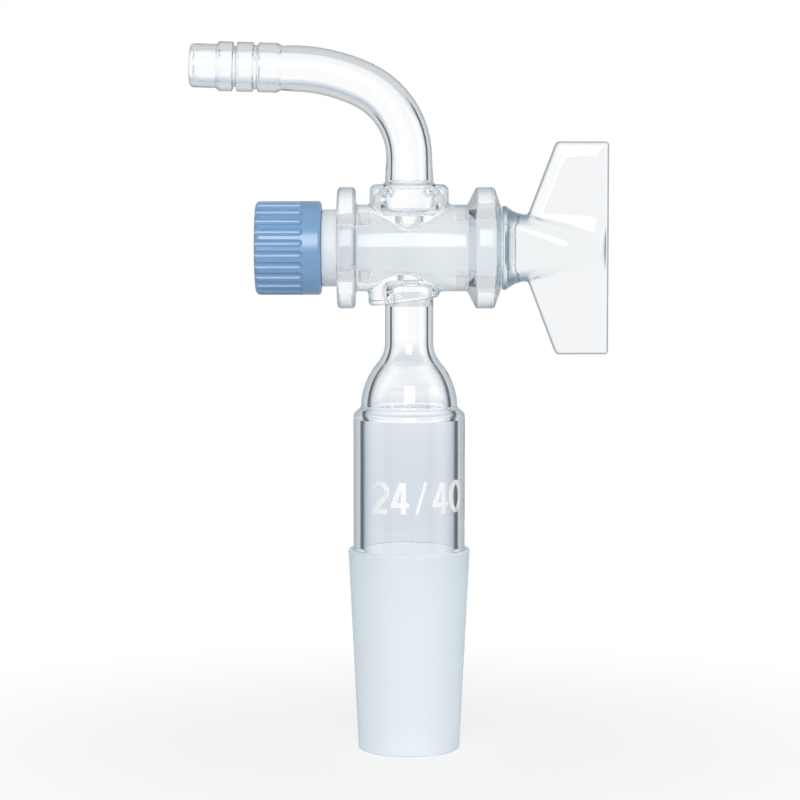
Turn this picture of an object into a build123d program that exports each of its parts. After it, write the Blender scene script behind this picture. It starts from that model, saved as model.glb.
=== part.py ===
from build123d import *

import os
from math import atan, cos, radians, sin

# A glass stopcock with a ground cone below its barrel and a bent hose tail above it.
# Millimetres. +Z runs up the cone, the origin is the centre of the cone's lower rim,
# and +X points from the barrel to the plug's handle.

# Ground cone and shank
cone_length = 40.0
cone_top_diameter = 24.0
cone_taper_share = 0.1
cone_rim_bore = 16.0
cone_rim_round = 0.6
cone_rim_bore_round = 0.3
cone_ledge_round = 0.35
shank_diameter = 22.0
shank_bore = 18.1
shank_length = 26.85
shank_shoulder_height = 1.2
shank_shoulder_round = 1.4

# Bulb and stem
bulb_diameter = 19.0
bulb_bore = 15.6
bulb_height = 12.7
bulb_sweep_radius = 6.0
bulb_root_round = 0.8
stem_diameter = 9.5
stem_bore = 6.7
stem_length = 18.6

# Barrel, from the stem's axis to its two ends
barrel_diameter = 17.0
barrel_left_length = 14.1
barrel_right_length = 17.9
ground_left_length = 7.6
ground_right_length = 9.2
bore_relief = 0.15
collar_diameter = 23.8
right_collar_width = 3.6
boss_collar_gap = 2.75
collar_round = 0.8
collar_root_round = 0.7
right_collar_foot_length = 1.7
right_collar_lip_length = 1.2

# Bosses where the tubes join the barrel: how wide they are by the barrel, and how far they stand off it
upper_boss_share = 0.912
upper_boss_rise = 4.0
upper_boss_round_share = 0.43304
upper_boss_root_share = 0.26649
boss_seam_round = 0.6
lower_boss_share = 0.824
lower_boss_offset = 1.0
lower_boss_drop = 2.9
lower_boss_tilt = 7.5
lower_boss_round = 0.8
upper_cavity_diameter = 9.6
lower_cavity_diameter = 8.0
upper_floor_round_share = 0.571429
lower_floor_round_share = 0.8
cavity_flare_length = 2.6
port_diameter = 4.0
port_wall = 1.1

# Bent arm above the upper boss
riser_length = 5.2
arm_diameter = 9.0
arm_bore = 6.6
tight_bend_radius = 15.7
tight_bend_turn = 65.0
wide_bend_radius = 33.3
wide_bend_turn = 23.2
run_length = 2.8
run_diameter = 8.7

# Hose tail, from the arm to the tip
hose_ridge_diameter = 9.7
hose_slope_length = 1.0
third_ridge_length = 3.5
shallow_notch_length = 1.2
shallow_notch_diameter = 8.6
second_ridge_length = 3.0
deep_notch_length = 0.9
deep_notch_diameter = 7.9
first_ridge_length = 2.6
hose_step_length = 0.6
hose_tip_length = 5.2
hose_tip_diameter = 8.6
hose_tip_round = 0.9
hose_tip_bore_round = 0.25
hose_mouth_diameter = 6.1
hose_mouth_length = 2.2
hose_corner_round = 0.2
notch_slope_share = 0.3

# Plug
plug_diameter = 11.8
plug_taper_share = 0.1
plug_gap = 0.03
plug_small_end_recess = 0.7
plug_bore = 4.0
tail_diameter = 7.8
tail_length = 14.0
tail_chamfer = 0.5
flange_gap = 0.3
flange_diameter = 16.5
flange_length = 0.8
flange_round = 0.3
neck_diameter = 13.1
neck_length = 4.3
neck_flat_share = 0.81
neck_flat_gap = 0.4
neck_flat_round = 2.5

# Plug's handle: a flat wing with bevelled borders, and a swell that runs out of the neck along its middle
wing_root_half_height = 6.4
wing_sunk_share = 0.4
wing_half_height = 20.8
wing_slant_length = 5.5
wing_length = 10.2
wing_thickness = 6.8
wing_edge_thickness = 5.8
wing_bevel = 2.4
wing_corner_round = 0.8
wing_crest_round = 0.5
swell_end_height = 13.0
swell_end_thickness = 8.5
swell_end_gap = 0.7

# Washer, rubber ring and nut on the plug's tail
face_gap = 0.05
washer_thickness = 3.0
washer_diameter = 15.1
washer_round = 0.25
tail_gap = 0.1
ring_cord_diameter = 2.1
ring_gap = 0.1
nut_diameter = 18.4
nut_length = 12.9
nut_end_wall = 1.7
nut_front_round = 0.6
nut_back_round = 1.0
nut_bore_gap = 0.12
flute_count = 26
flute_radius = 0.85
flute_depth = 0.5
flute_band = 3.4

cut_overrun = 1.0

# Heights and fits that follow from the sizes above
shank_top = cone_length + shank_length
bulb_foot = shank_top + shank_shoulder_height
bulb_top = bulb_foot + bulb_height
barrel_height = bulb_top + stem_length
taper_slope = plug_taper_share / 2
boss_diameter = barrel_diameter * upper_boss_share
upper_boss_height = barrel_diameter / 2 + upper_boss_rise
lower_boss_diameter = barrel_diameter * lower_boss_share
lower_boss_depth = barrel_diameter / 2 + lower_boss_drop
left_collar_start = boss_diameter / 2 + boss_collar_gap
left_collar_width = barrel_left_length - left_collar_start
recess_end = -barrel_left_length + plug_small_end_recess
washer_left = -barrel_left_length - face_gap - washer_thickness
nut_front = washer_left - face_gap
nut_back = nut_front - nut_length
flange_start = barrel_right_length + flange_gap
neck_end = flange_start + flange_length + neck_length
wing_end = neck_end + wing_slant_length + wing_length


def plug_radius(x):
    """Radius of the plug's ground taper at a place along the barrel."""
    return plug_diameter / 2 - taper_slope * (barrel_right_length - x)


cavity_floor = plug_radius(0) + plug_gap + bore_relief + port_wall

# Frames whose own Z runs along the axis that a piece is turned about
upright = Plane.XY
along_barrel = Plane(origin=(0, 0, barrel_height), x_dir=(0, 0, 1), z_dir=(1, 0, 0))
above_barrel = Plane(origin=(0, 0, barrel_height), x_dir=(-1, 0, 0), z_dir=(0, 0, 1))
below_barrel = Plane(origin=(0, 0, barrel_height), x_dir=(-1, 0, 0), z_dir=(0, 0, -1))


def rounded(outline, corners, radius):
    """Round the outline's corners that lie at the given points."""
    picked = [outline.vertices().sort_by_distance(Vector(*corner))[0] for corner in corners]
    return fillet(picked, radius)


def turned(outline, frame):
    """Turn an outline, drawn as radius and height, about the frame's own Z axis."""
    return frame.location * revolve(Plane.XZ * outline, Axis.Z)


def drawn(*points):
    """Closed outline through points of radius and height."""
    return make_face(Polyline(*points, close=True))


def sweep_points(foot_radius, top_radius, concave_radius):
    """Points of the curve that a bulb's side makes: out of the stem, then over to the upright foot."""
    growth = foot_radius - top_radius
    angle = 2 * atan(growth / bulb_height)
    convex_radius = bulb_height / sin(angle) - concave_radius
    turn = (top_radius + concave_radius * (1 - cos(angle)), bulb_top - concave_radius * sin(angle))
    over = (foot_radius - convex_radius * (1 - cos(angle / 2)), bulb_foot + convex_radius * sin(angle / 2))
    out = (top_radius + concave_radius * (1 - cos(angle / 2)), bulb_top - concave_radius * sin(angle / 2))
    return out, turn, over


def bulb_outline(foot_radius, top_radius, concave_radius, below, above):
    """Outline that comes up from the points below, over the bulb and on to the points above."""
    out, turn, over = sweep_points(foot_radius, top_radius, concave_radius)
    foot = (foot_radius, bulb_foot)
    top = (top_radius, bulb_top)
    edges = [Polyline(*below, foot)]
    edges += [ThreePointArc(foot, over, turn), ThreePointArc(turn, out, top)]
    edges += [Polyline(top, *above, below[0])]
    return make_face(edges)


def lower_glass():
    """Ground cone, shank, bulb and stem, solid up to the barrel's axis."""
    top = cone_top_diameter / 2
    rim = top - cone_length * cone_taper_share / 2
    ledge = (top, cone_length)
    shoulder = (shank_diameter / 2, shank_top)
    below = [(0, 0), (rim, 0), ledge, (shank_diameter / 2, cone_length), shoulder]
    above = [(stem_diameter / 2, barrel_height), (0, barrel_height)]
    outline = bulb_outline(bulb_diameter / 2, stem_diameter / 2, bulb_sweep_radius, below, above)
    outline = rounded(outline, [(rim, 0)], cone_rim_round)
    outline = rounded(outline, [ledge], cone_ledge_round)
    outline = rounded(outline, [shoulder], shank_shoulder_round)
    outline = rounded(outline, [(bulb_diameter / 2, bulb_foot)], bulb_root_round)
    return turned(outline, upright)


def lower_bore():
    """Hollow of the cone, shank and bulb."""
    rim = cone_rim_bore / 2
    flare = rim + cone_rim_bore_round
    shank = shank_bore / 2
    below = [(0, -cut_overrun), (flare, -cut_overrun), (flare, 0), (rim, cone_rim_bore_round)]
    below += [(shank, cone_length), (shank, shank_top - shank_shoulder_height)]
    wall = (stem_diameter - stem_bore) / 2
    outline = bulb_outline(bulb_bore / 2, stem_bore / 2, bulb_sweep_radius + wall, below, [(0, bulb_top)])
    return turned(outline, upright)


def barrel():
    """Barrel with its two collars, solid."""
    wall = barrel_diameter / 2
    rim = collar_diameter / 2
    left = -barrel_left_length
    right = barrel_right_length
    left_root = -left_collar_start
    rim_end = right - right_collar_lip_length
    rim_start = rim_end - right_collar_width
    foot = rim_start - right_collar_foot_length
    rims = [(rim, left), (rim, left_root), (rim, rim_start), (rim, rim_end)]
    roots = [(wall, left_root), (wall, foot)]
    ends = [(wall, right), (0, right), (0, left)]
    outline = drawn(rims[0], rims[1], roots[0], roots[1], rims[2], rims[3], *ends)
    left_round = collar_round * left_collar_width / right_collar_width
    outline = rounded(outline, rims[:2], left_round)
    outline = rounded(outline, rims[2:], collar_round)
    outline = rounded(outline, roots, collar_root_round)
    return turned(outline, along_barrel)


def barrel_bore():
    """Tapered bore, ground over its middle and relieved towards both ends."""
    left = -barrel_left_length - cut_overrun
    right = barrel_right_length + cut_overrun
    steps = [left, -ground_left_length, -ground_left_length]
    steps += [ground_right_length, ground_right_length, right]
    reliefs = [bore_relief, bore_relief, 0, 0, bore_relief, bore_relief]
    wall = [(plug_radius(x) + plug_gap + more, x) for x, more in zip(steps, reliefs)]
    return turned(drawn((0, left), *wall, (0, right)), along_barrel)


def upper_boss():
    """Round boss on top of the barrel, with the riser that stands on it."""
    side = boss_diameter / 2
    rim = (side, upper_boss_height)
    root = (stem_diameter / 2, upper_boss_height)
    top = upper_boss_height + riser_length
    outline = drawn((0, 0), (side, 0), rim, root, (arm_diameter / 2, top), (0, top))
    ledge = side - stem_diameter / 2
    outline = rounded(outline, [rim], ledge * upper_boss_round_share)
    outline = rounded(outline, [root], ledge * upper_boss_root_share)
    return turned(outline, above_barrel)


def lower_boss():
    """Boss under the barrel, melted to one side and off at a slant."""
    side = lower_boss_diameter / 2
    tilt = radians(lower_boss_tilt)
    section = Location((lower_boss_offset, 0)) * Circle(side)
    column = below_barrel.location * extrude(section, lower_boss_depth + cut_overrun)
    low = (-lower_boss_offset - side, 0, barrel_height - lower_boss_depth)
    slant = Plane(origin=low, x_dir=(cos(tilt), 0, sin(tilt)), z_dir=(-sin(tilt), 0, cos(tilt)))
    boss = split(column, bisect_by=slant, keep=Keep.TOP)
    return fillet(boss.edges().sort_by(Axis.Z)[0], lower_boss_round)


def barrel_with_bosses():
    """Barrel and bosses, with the seams between them flowed smooth."""
    wall, upper, lower = barrel(), upper_boss(), lower_boss()
    solid = wall + upper + lower
    return fillet(new_edges(wall, upper, lower, combined=solid), boss_seam_round)


def boss_passage(cavity, floor_round_share, boss_reach, end_radius, end, frame):
    """Hollow of a boss and its tube: a port in the barrel's wall, a round-floored cavity, then the bore."""
    port = port_diameter / 2
    floor = (cavity, cavity_floor)
    flare = (cavity, boss_reach - cavity_flare_length)
    tube = [(stem_bore / 2, boss_reach), (end_radius, end), (0, end)]
    outline = drawn((0, 0), (port, 0), (port, cavity_floor), floor, flare, *tube)
    shorter_side = min(cavity - port, boss_reach - cavity_flare_length - cavity_floor)
    return turned(rounded(outline, [floor], shorter_side * floor_round_share), frame)


def bend(frame, bend_radius, turn, section_radius):
    """Carry a round section along an arc towards the frame's X. Gives the solid and the end's frame."""
    pivot = Axis(frame.from_local_coords((bend_radius, 0, 0)), frame.y_dir)
    solid = revolve(frame * Circle(section_radius), pivot, turn)
    angle = radians(turn)
    end = frame.from_local_coords((bend_radius * (1 - cos(angle)), 0, bend_radius * sin(angle)))
    forward = frame.z_dir * cos(angle) + frame.x_dir * sin(angle)
    inward = frame.x_dir * cos(angle) - frame.z_dir * sin(angle)
    return solid, Plane(origin=end, x_dir=inward, z_dir=forward)


def straight(frame, length, start_radius, end_radius):
    """Carry a round section straight on. Gives the solid and the end's frame."""
    outline = drawn((0, 0), (start_radius, 0), (end_radius, length), (0, length))
    end = frame.from_local_coords((0, 0, length))
    return turned(outline, frame), Plane(origin=end, x_dir=frame.x_dir, z_dir=frame.z_dir)


def arm(bend_section_radius, tip_radius):
    """Two arcs and a short run, from the riser to the hose tail. Gives the solid and the tail's frame."""
    foot = above_barrel.from_local_coords((0, 0, upper_boss_height + riser_length))
    frame = Plane(origin=foot, x_dir=above_barrel.x_dir, z_dir=above_barrel.z_dir)
    tight, frame = bend(frame, tight_bend_radius, tight_bend_turn, bend_section_radius)
    wide, frame = bend(frame, wide_bend_radius, wide_bend_turn, bend_section_radius)
    run, frame = straight(frame, run_length, bend_section_radius, tip_radius)
    return tight + wide + run, frame


def hose_tail(frame):
    """Three ridges and a plain tip for a hose to grip. Gives the solid and its length."""
    ridge = hose_ridge_diameter / 2
    points = [(0, 0), (run_diameter / 2, 0)]
    along = hose_slope_length
    points.append((ridge, along))
    notches = [(third_ridge_length, shallow_notch_length, shallow_notch_diameter / 2)]
    notches += [(second_ridge_length, deep_notch_length, deep_notch_diameter / 2)]
    for ridge_length, notch_length, notch_radius in notches:
        along += ridge_length
        slope = notch_length * notch_slope_share
        points += [(ridge, along), (notch_radius, along + slope)]
        along += notch_length
        points += [(notch_radius, along - slope), (ridge, along)]
    along += first_ridge_length
    points.append((ridge, along))
    along += hose_step_length
    points.append((hose_tip_diameter / 2, along))
    length = along + hose_tip_length
    tip = (hose_tip_diameter / 2, length)
    outline = drawn(*points, tip, (0, length))
    outline = rounded(outline, [tip], hose_tip_round)
    outline = rounded(outline, points[2:], hose_corner_round)
    return turned(outline, frame), length


def hose_bore(frame, length):
    """Bore of the hose tail, drawn in by the flame towards the tip and eased at its mouth."""
    bore = arm_bore / 2
    mouth = hose_mouth_diameter / 2
    lip = mouth + hose_tip_bore_round
    past = length + cut_overrun
    wall = [(bore, 0), (bore, length - hose_mouth_length), (mouth, length - hose_tip_bore_round)]
    outline = drawn((0, 0), *wall, (lip, length), (lip, past), (0, past))
    return turned(outline, frame)


def glass_body():
    """All the glass that was fused in the flame, as one hollow solid."""
    tube, tail_frame = arm(arm_diameter / 2, run_diameter / 2)
    tube_bore, _ = arm(arm_bore / 2, arm_bore / 2)
    tail, tail_length = hose_tail(tail_frame)
    solid = lower_glass() + barrel_with_bosses() + tube + tail
    riser_top = upper_boss_height + riser_length
    upper = (upper_cavity_diameter / 2, upper_floor_round_share, upper_boss_height)
    lower = (lower_cavity_diameter / 2, lower_floor_round_share, lower_boss_depth)
    upper_passage = boss_passage(*upper, arm_bore / 2, riser_top, above_barrel)
    lower_passage = boss_passage(*lower, stem_bore / 2, stem_length, below_barrel)
    hollow = lower_bore() + lower_passage + barrel_bore() + upper_passage
    return solid - hollow - tube_bore - hose_bore(tail_frame, tail_length)


def plug_core():
    """Everything on the plug that is turned about its axis: tail, taper, flange and neck."""
    tail = tail_diameter / 2
    tail_end = -barrel_left_length - tail_length
    flange = flange_diameter / 2
    neck = neck_diameter / 2
    neck_start = (flange, flange_start + flange_length)
    drop = flange - neck
    hollow_radius = (neck_length ** 2 + drop ** 2) / (2 * drop)
    middle = atan(neck_length / (hollow_radius - drop)) / 2
    waist = (neck + hollow_radius * (1 - cos(middle)), neck_end - hollow_radius * sin(middle))
    lead = [(0, tail_end), (tail - tail_chamfer, tail_end), (tail, tail_end + tail_chamfer)]
    lead += [(tail, recess_end), (plug_radius(recess_end), recess_end)]
    lead += [(plug_radius(flange_start), flange_start)]
    lead += [(flange, flange_start), neck_start]
    edges = [Polyline(*lead), ThreePointArc(neck_start, waist, (neck, neck_end))]
    edges += [Polyline((neck, neck_end), (0, neck_end), lead[0])]
    outline = rounded(make_face(edges), [(flange, flange_start)], flange_round)
    return turned(outline, along_barrel)


def swell():
    """Swell on the handle: the neck's circle, drawn out to a flatter ellipse near the handle's end."""
    end = wing_end - swell_end_gap
    root = Location((0, 0, neck_end)) * Circle(neck_diameter / 2)
    tip = Location((0, 0, end)) * Ellipse(swell_end_height / 2, swell_end_thickness / 2)
    return along_barrel.location * loft([root, tip], ruled=True)


def neck_flat():
    """Space beyond the flat that is pressed on the front of the neck and swell, with a round run-out."""
    start = flange_start + flange_length + neck_flat_gap
    flat = neck_flat_share * neck_diameter / 2
    past = flange_diameter / 2 + cut_overrun
    end = wing_end + cut_overrun
    outline = drawn((start, -flat), (end, -flat), (end, -past), (start, -past))
    outline = rounded(outline, [(start, -flat)], neck_flat_round)
    return Location((0, 0, barrel_height)) * extrude(outline, past, both=True)


def wing_outline(border, corner_round):
    """Handle's outline as X along the barrel and height, drawn in by a border and run into the neck."""
    lean = wing_slant_length / (wing_half_height - wing_root_half_height)
    half = wing_half_height - border
    low = wing_root_half_height * wing_sunk_share
    start = neck_end + border / cos(atan(lean))
    root = start + (low - wing_root_half_height) * lean
    corner = start + (half - wing_root_half_height) * lean
    end = wing_end - border
    upper = [(corner, half), (end, half)]
    lower = [(end, -half), (corner, -half)]
    outline = drawn((root, low), *upper, *lower, (root, -low))
    return rounded(outline, upper + lower, corner_round)


def wing():
    """Flat winged handle with a bevelled border on both faces."""
    front = Plane(origin=(0, 0, barrel_height), x_dir=(1, 0, 0), z_dir=(0, -1, 0))
    edge = wing_edge_thickness / 2
    face = wing_thickness / 2
    outer = wing_outline(0, wing_corner_round)
    crest = wing_outline(wing_bevel, wing_crest_round)
    slab = extrude(outer, edge, both=True)
    bevel = loft([Location((0, 0, edge)) * outer, Location((0, 0, face)) * crest], ruled=True)
    return front.location * (slab + bevel + mirror(bevel, Plane.XY))


def plug():
    """Solid glass plug, with the cross bore that lines up with the ports when the handle is upright."""
    cross_bore = above_barrel.location * extrude(Circle(plug_bore / 2), plug_diameter, both=True)
    flat = neck_flat()
    middle = plug_core() + swell() - flat - mirror(flat, Plane.XZ)
    return middle - cross_bore + wing()


def washer():
    """Flat washer between the barrel's end and the nut."""
    side = washer_diameter / 2
    hole = tail_diameter / 2 + tail_gap
    near = washer_left + washer_thickness
    rims = [(side, washer_left), (side, near)]
    outline = drawn((hole, washer_left), *rims, (hole, near))
    return turned(rounded(outline, rims, washer_round), along_barrel)


def o_ring():
    """Rubber ring in the nut's mouth, around the plug's tail."""
    middle = tail_diameter / 2 + ring_gap + ring_cord_diameter / 2
    place = nut_front - ring_gap - ring_cord_diameter / 2
    return turned(Location((middle, place)) * Circle(ring_cord_diameter / 2), along_barrel)


def flute():
    """One flute of the nut, cut from its back and ending in a round."""
    ridge = nut_diameter / 2
    axis_radius = ridge + flute_radius - flute_depth
    stop = nut_front - flute_band - flute_radius
    start = nut_back - cut_overrun
    rod = drawn((0, start), (flute_radius, start), (flute_radius, stop), (0, stop))
    end = Location((axis_radius, 0, stop)) * Sphere(flute_radius)
    groove = Location((axis_radius, 0, 0)) * turned(rod, upright)
    return groove + end


def retaining_nut():
    """Fluted blind nut with a seat for the rubber ring in its mouth."""
    side = nut_diameter / 2
    hole = tail_diameter / 2 + nut_bore_gap
    seat = hole + ring_cord_diameter + ring_gap * 2
    seat_end = nut_front - ring_cord_diameter - ring_gap * 2
    end = nut_back + nut_end_wall
    front = (side, nut_front)
    back = (side, nut_back)
    inside = [(0, end), (hole, end), (hole, seat_end), (seat, seat_end), (seat, nut_front)]
    outline = drawn(*inside, front, back, (0, nut_back))
    outline = rounded(outline, [front], nut_front_round)
    outline = rounded(outline, [back], nut_back_round)
    blank = revolve(Plane.XZ * outline, Axis.Z)
    cutter = flute()
    flutes = [Rotation(0, 0, 360 * step / flute_count) * cutter for step in range(flute_count)]
    return along_barrel.location * (blank - flutes)


pieces = {
    "glass_body": glass_body,
    "plug": plug,
    "washer": washer,
    "o_ring": o_ring,
    "retaining_nut": retaining_nut,
}

os.makedirs("parts", exist_ok=True)
for name, make in pieces.items():
    export_step(make(), f"parts/{name}.step")
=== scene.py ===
"""Looks for a glass stopcock: a ground cone, a bulb, a barrel with a turning plug and a bent hose tail.

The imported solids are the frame. The plug is made again here with a pressed, fire-polished handle,
the shank gets its size mark, and every piece gets the finish of its real material. Sizes in the
classes are millimetres in the part's own frame: the origin is the centre of the cone's lower rim,
+Z runs up the cone and +X points to the plug's handle.
"""

import logging
import math
from dataclasses import dataclass
from enum import Enum

import bmesh
import bpy
import numpy as np
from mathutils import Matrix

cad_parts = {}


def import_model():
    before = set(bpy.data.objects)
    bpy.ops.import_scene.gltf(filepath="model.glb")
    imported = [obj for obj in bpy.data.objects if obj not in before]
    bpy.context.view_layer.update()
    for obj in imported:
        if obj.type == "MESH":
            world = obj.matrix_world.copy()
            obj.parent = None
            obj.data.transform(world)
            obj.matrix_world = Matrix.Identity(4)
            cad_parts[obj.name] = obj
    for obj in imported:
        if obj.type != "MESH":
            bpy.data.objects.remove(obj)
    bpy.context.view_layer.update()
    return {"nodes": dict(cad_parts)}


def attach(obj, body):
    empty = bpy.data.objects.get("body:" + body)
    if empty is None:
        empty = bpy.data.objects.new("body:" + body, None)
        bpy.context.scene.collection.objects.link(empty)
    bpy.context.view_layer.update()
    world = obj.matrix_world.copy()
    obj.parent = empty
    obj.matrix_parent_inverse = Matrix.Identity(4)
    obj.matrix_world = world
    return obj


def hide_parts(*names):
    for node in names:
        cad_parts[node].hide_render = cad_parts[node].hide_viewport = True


MM = 0.001
AXIS_HEIGHT = 99.35
WHITE = (1.0, 1.0, 1.0, 1.0)
# Numbers of bounces and crossings are whole, so the limits lie halfway between two of them.
ONCE = 0.5
HOLLOW = 3.5
SAME_POINT = 1e-7

log = logging.getLogger("stopcock")


def to_linear(colour: str) -> tuple[float, float, float, float]:
    """Turn an sRGB hex colour into the linear colour that shaders use.

    Args:
        colour: six hex digits with a leading hash.

    Returns:
        Linear red, green, blue and an alpha of one.
    """
    parts = np.array([int(colour[i:i + 2], 16) for i in (1, 3, 5)]) / 255.0
    linear = np.where(parts <= 0.04045, parts / 12.92, ((parts + 0.055) / 1.055) ** 2.4)
    return (*linear.tolist(), 1.0)


def add(
    tree: bpy.types.NodeTree, kind: str, inputs: dict | None = None, **settings: object
) -> bpy.types.Node:
    """Add one node with its settings, and link or set its inputs.

    Args:
        tree: the node tree that gets the node.
        kind: Blender's name for the kind of node.
        inputs: value, socket or node by input name or number; a node stands for its first output.
        settings: the node's own properties.

    Returns:
        The new node.
    """
    made = tree.nodes.new(kind)
    for name, value in settings.items():
        setattr(made, name, value)
    for name, value in (inputs or {}).items():
        if isinstance(value, bpy.types.Node):
            value = value.outputs[0]
        if isinstance(value, bpy.types.NodeSocket):
            tree.links.new(value, made.inputs[name])
        else:
            made.inputs[name].default_value = value
    return made


def new_material(name: str) -> tuple[bpy.types.Material, bpy.types.NodeTree, bpy.types.Node]:
    """Make an empty node material.

    Args:
        name: the material's name.

    Returns:
        The material, its node tree and its output node.
    """
    material = bpy.data.materials.new(name)
    material.use_nodes = True
    material.node_tree.nodes.clear()
    return material, material.node_tree, add(material.node_tree, "ShaderNodeOutputMaterial")


def soft_max(a: np.ndarray, b: np.ndarray, width: float) -> np.ndarray:
    """Larger of two fields, with the crease between them filled over a width.

    Where the fields differ by less than the width, the square of what is left of it is added,
    so the result leaves each field with its own slope.

    Args:
        a: first field.
        b: second field.
        width: difference below which the fields blend.

    Returns:
        The blended field.
    """
    near = np.maximum(width - np.abs(a - b), 0.0) / width
    return np.maximum(a, b) + near * near * width / 4


def soft_min(a: np.ndarray, b: np.ndarray, width: float) -> np.ndarray:
    """Smaller of two fields, blended as in soft_max."""
    return -soft_max(-np.asarray(a), -np.asarray(b), width)


def loft(name: str, rings: np.ndarray, ladder_ends: bool) -> bpy.types.Object:
    """Make a mesh from rings of points that follow each other.

    Each ring closes on itself, and point k of one ring joins point k of the next. Both ends are
    closed with a ladder of quads from one half of the ring to the other, or with one polygon.

    Args:
        name: the object's name.
        rings: points in metres, as (ring, point, xyz).
        ladder_ends: True to close the ends with a ladder, False with one polygon.

    Returns:
        The object, with its place in its mesh.
    """
    count, size = rings.shape[:2]
    ids = np.arange(count * size).reshape(count, size)
    after = np.roll(ids, -1, axis=1)
    walls = np.stack([ids[:-1], after[:-1], after[1:], ids[1:]], axis=-1).reshape(-1, 4)
    faces = walls.tolist()
    if ladder_ends:
        half = size // 2
        there, back = np.arange(half), size - 1 - np.arange(half)
        rungs = np.stack([there[:-1], back[:-1], back[1:], there[1:]], axis=-1)
        faces += ids[0][rungs].tolist() + ids[-1][rungs][:, ::-1].tolist()
    else:
        faces += [ids[0][::-1].tolist(), ids[-1].tolist()]
    mesh = bpy.data.meshes.new(name)
    mesh.from_pydata(rings.reshape(-1, 3), [], faces)
    mesh.validate()
    made = bpy.data.objects.new(name, mesh)
    bpy.context.scene.collection.objects.link(made)
    return made


def close_and_smooth(piece: bpy.types.Object, crease_deg: float) -> None:
    """Merge points that fall together, turn the faces outwards and shade smooth between creases.

    Args:
        piece: the object.
        crease_deg: angle between faces above which an edge stays sharp.
    """
    work = bmesh.new()
    work.from_mesh(piece.data)
    bmesh.ops.remove_doubles(work, verts=work.verts, dist=SAME_POINT)
    bmesh.ops.dissolve_degenerate(work, edges=work.edges, dist=SAME_POINT)
    bmesh.ops.recalc_face_normals(work, faces=work.faces)
    work.to_mesh(piece.data)
    work.free()
    piece.data.polygons.foreach_set("use_smooth", np.ones(len(piece.data.polygons), bool))
    piece.data.set_sharp_from_angle(angle=math.radians(crease_deg))
    piece.data.update()


class GroundZone(Enum):
    """Which surfaces of a glass piece are ground."""

    BODY = "outside of the cone and seat of the barrel"
    PLUG = "taper of the plug"


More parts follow.
